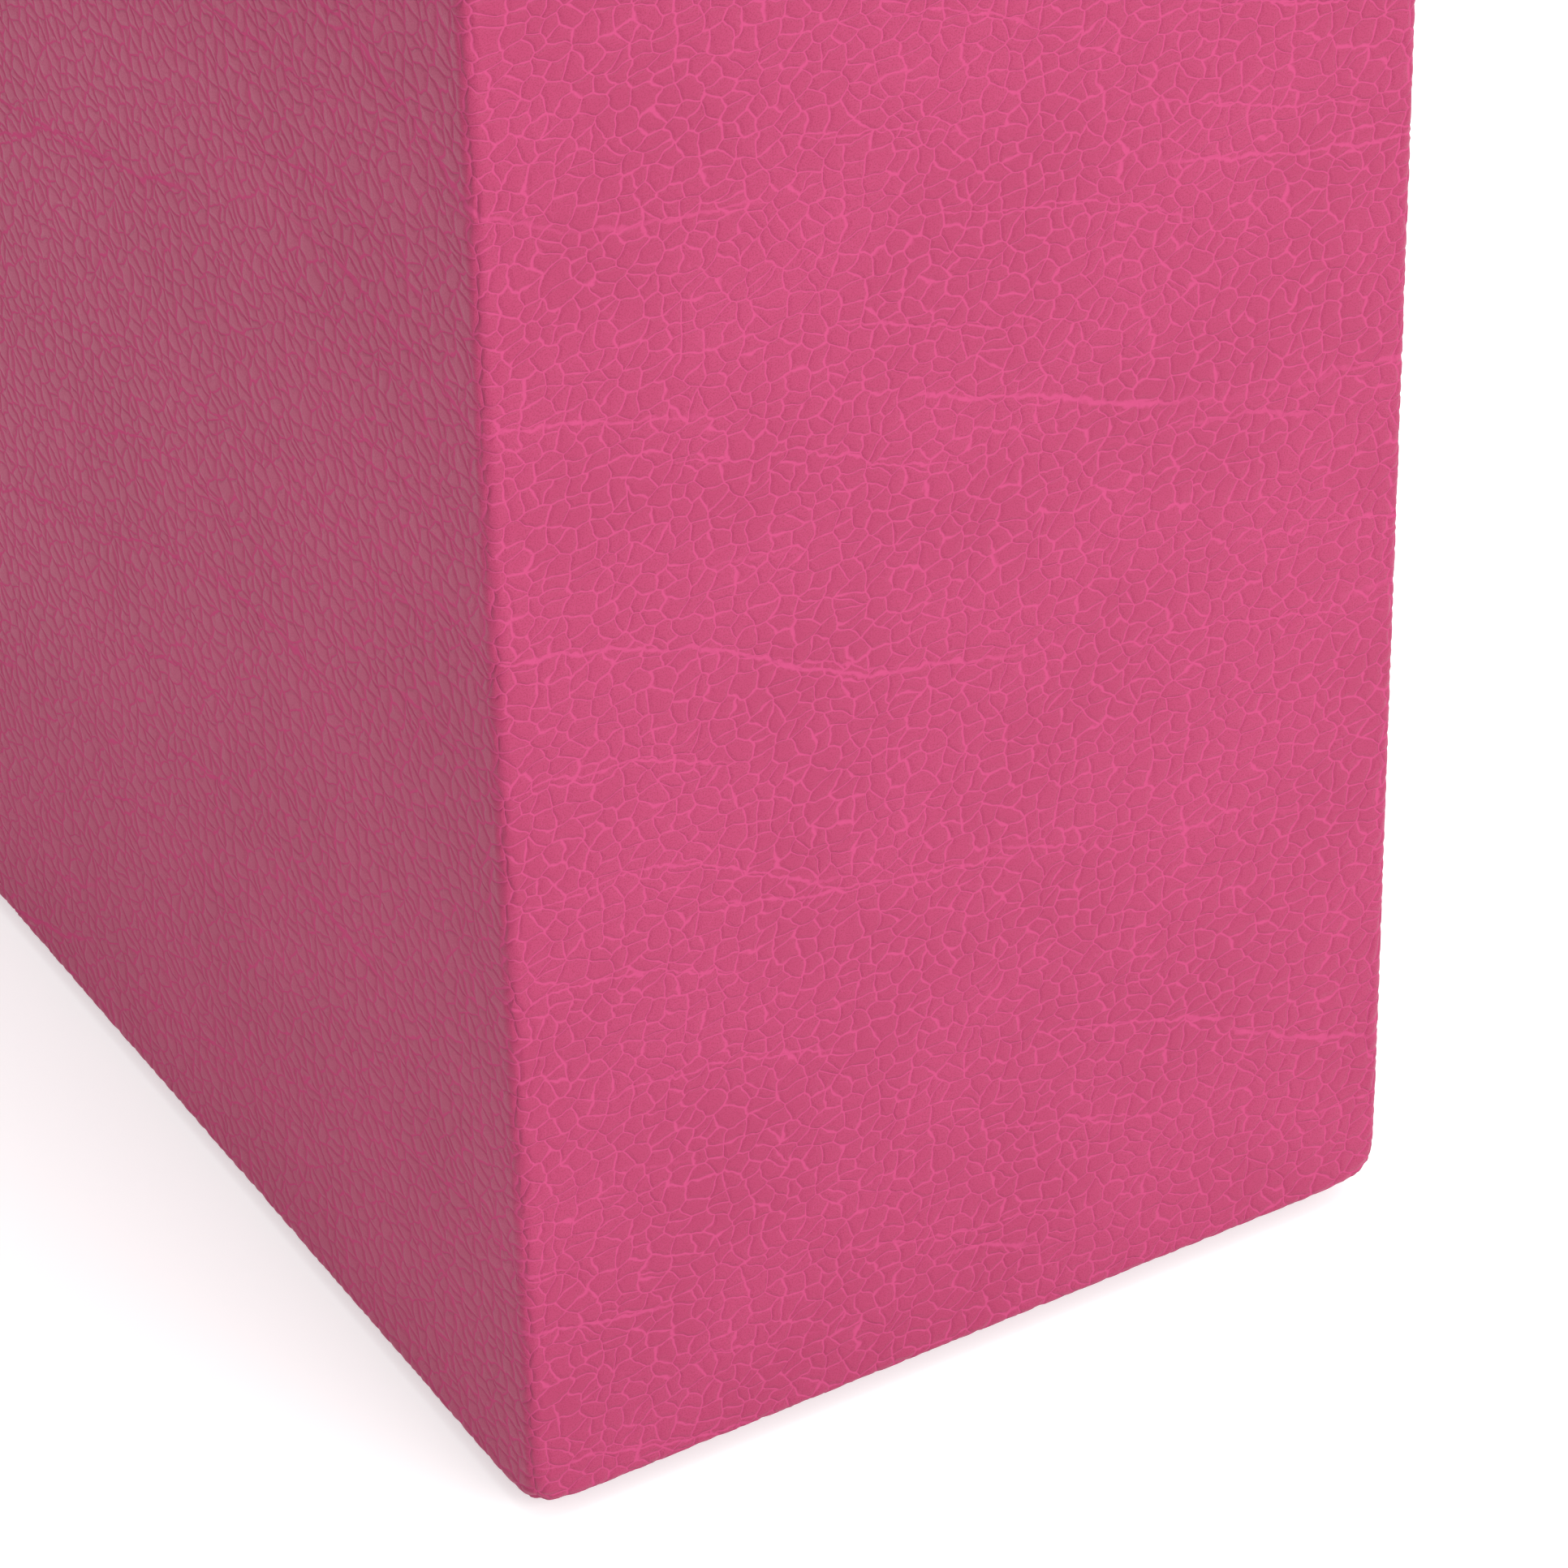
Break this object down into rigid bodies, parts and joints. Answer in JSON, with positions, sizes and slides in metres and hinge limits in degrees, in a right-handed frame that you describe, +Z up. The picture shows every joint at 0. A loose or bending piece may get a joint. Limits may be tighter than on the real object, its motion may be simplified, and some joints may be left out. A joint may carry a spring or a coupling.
{
  "type": "leather jewellery case",
  "caption": "Upright leather-covered jewellery case with a hinged mirror lid over a lined compartment, a key lock, sliding drawers below and a swinging top handle.",
  "frame": {"origin": "middle of the underside of the closed case, on the surface that it stands on", "axes": "+Z up, X along the wide front, the drawers and the key face -Y, the lid's hinges are on the +Y side"},
  "size_m": [0.2, 0.1476, 0.262],
  "materials": {
    "pink_leather": "hot-pink pebble-grain leather, soft sheen",
    "greyboard": "raw pressed board",
    "drawer_wood": "thin pale wood, satin",
    "velvet": "blush velvet",
    "base_suede": "dark suede cloth",
    "brass": "polished",
    "steel": "brushed",
    "mirror": "silvered glass"
  },
  "bodies": {
    "case": {"base_panel": "base_suede", "bottom_board": "greyboard", "back_board": "greyboard", "left_board": "greyboard", "right_board": "greyboard", "shelf_1": "greyboard", "shelf_2": "greyboard", "shelf_edging_1": "pink_leather", "shelf_edging_2": "pink_leather", "compartment_floor": "greyboard", "apron_board": "greyboard", "body_leather": "pink_leather", "apron_leather": "pink_leather", "compartment_lining": "velvet", "ring_cushion": "velvet", "long_divider": "velvet", "cross_divider": "velvet", "lock_case": "brass", "key_escutcheon": "brass", "left_hinge_body_leaf": "brass", "right_hinge_body_leaf": "brass", "left_hinge_pin": "brass", "right_hinge_pin": "brass"},
    "bolt": {"lock_bolt": "steel"},
    "key": {"key": "brass"},
    "lid": {"lid_top_board": "greyboard", "lid_front_board": "greyboard", "lid_back_board": "greyboard", "lid_left_board": "greyboard", "lid_right_board": "greyboard", "lid_leather": "pink_leather", "lid_lining": "velvet", "mirror_frame": "velvet", "mirror_glass": "mirror", "lid_strike": "brass", "left_hinge_lid_leaf": "brass", "right_hinge_lid_leaf": "brass", "left_handle_bracket": "brass", "right_handle_bracket": "brass"},
    "handle": {"left_handle_eye": "brass", "right_handle_eye": "brass", "handle_grip": "pink_leather"},
    "drawer_1": {"drawer_1_front": "greyboard", "drawer_1_leather": "pink_leather", "drawer_1_box": "drawer_wood", "drawer_1_lining": "velvet", "drawer_1_knob": "brass"},
    "drawer_2": {"drawer_2_front": "greyboard", "drawer_2_leather": "pink_leather", "drawer_2_box": "drawer_wood", "drawer_2_lining": "velvet", "drawer_2_knob": "brass"},
    "drawer_3": {"drawer_3_front": "greyboard", "drawer_3_leather": "pink_leather", "drawer_3_box": "drawer_wood", "drawer_3_lining": "velvet", "drawer_3_knob": "brass", "drawer_3_divider": "velvet"}
  },
  "joints": [
    {"name": "lid_hinge", "type": "hinge", "parent": "case", "child": "lid", "pos_m": [0, 0.0625, 0.2103], "axis": [-1, 0, 0], "range_deg": [0, 105]},
    {"name": "handle_swing", "type": "hinge", "parent": "lid", "child": "handle", "pos_m": [0, 0, 0.257], "axis": [-1, 0, 0], "range_deg": [0, 180]},
    {"name": "key_turn", "type": "hinge", "parent": "case", "child": "key", "pos_m": [0, -0.0545, 0.1994], "axis": [0, -1, 0], "range_deg": [0, 90]},
    {"name": "bolt_slide", "type": "slide", "parent": "case", "child": "bolt", "axis": [1, 0, 0], "range_m": [0, 0.0036]},
    {"name": "drawer_1_slide", "type": "slide", "parent": "case", "child": "drawer_1", "axis": [0, -1, 0], "range_m": [0, 0.08]},
    {"name": "drawer_2_slide", "type": "slide", "parent": "case", "child": "drawer_2", "axis": [0, -1, 0], "range_m": [0, 0.08]},
    {"name": "drawer_3_slide", "type": "slide", "parent": "case", "child": "drawer_3", "axis": [0, -1, 0], "range_m": [0, 0.08]}
  ],
  "couplings": [
    {"joint": "bolt_slide", "follows": "key_turn", "m_per_rad": 0.0022}
  ]
}
